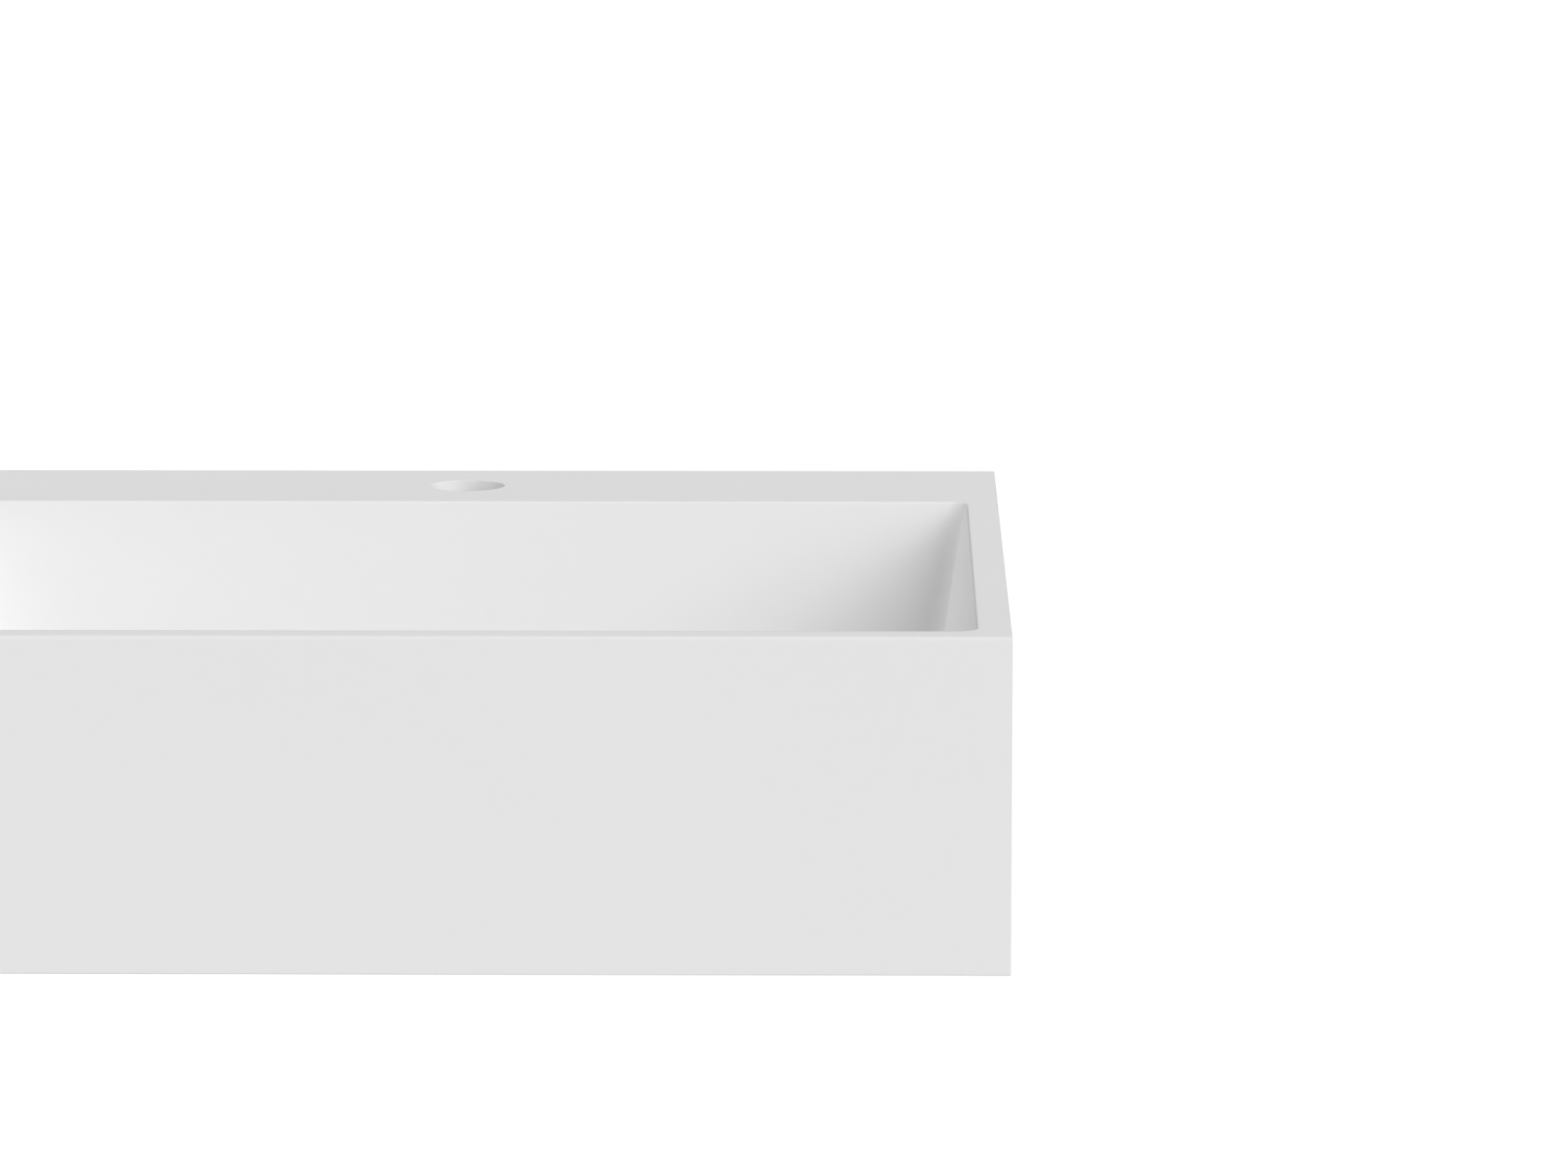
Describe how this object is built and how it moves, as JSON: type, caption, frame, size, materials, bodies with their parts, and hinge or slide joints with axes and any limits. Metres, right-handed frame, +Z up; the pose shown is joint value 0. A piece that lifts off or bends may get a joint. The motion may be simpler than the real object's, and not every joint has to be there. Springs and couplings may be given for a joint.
{
  "type": "double washbasin",
  "caption": "Wide wall-hung washbasin with rectangular bowls side by side, a flat rear deck with round tap holes and push-open wastes; water is caught, held and drained.",
  "frame": {"origin": "on the flat back face that rests on the wall, on the line of the four fixing holes, midway between the two bowls", "axes": "+X along the basin to the right as seen from the front, +Y into the wall, +Z up; the front apron faces -Y"},
  "size_m": [1, 0.48, 0.1785],
  "materials": {
    "mineral_cast": "fine matt, white mineral-filled acrylic",
    "waste_chrome": "polished chrome plate",
    "stem_brass": "turned brass",
    "nut_brass": "raw brass, machined",
    "cartridge_plastic": "off-white moulded plastic",
    "seal_rubber": "matt black rubber",
    "plug_silicone": "soft translucent grey silicone"
  },
  "bodies": {
    "basin": {"basin_body": "mineral_cast", "waste_bodies": "waste_chrome", "click_cartridges": "cartridge_plastic", "flange_seals": "seal_rubber", "under_seals": "seal_rubber", "back_nuts": "nut_brass"},
    "left_plug": {"left_plug_stem": "stem_brass", "left_plug_seal": "plug_silicone", "left_plug_cap": "waste_chrome"},
    "right_plug": {"right_plug_stem": "stem_brass", "right_plug_seal": "plug_silicone", "right_plug_cap": "waste_chrome"}
  },
  "joints": [
    {"name": "left_plug_press", "type": "slide", "parent": "basin", "child": "left_plug", "axis": [0, 0, 1], "range_m": [-0.008, 0], "stiffness_N_per_m": 600, "springref_m": 0.005},
    {"name": "right_plug_press", "type": "slide", "parent": "basin", "child": "right_plug", "axis": [0, 0, 1], "range_m": [-0.008, 0], "stiffness_N_per_m": 600, "springref_m": 0.005}
  ]
}
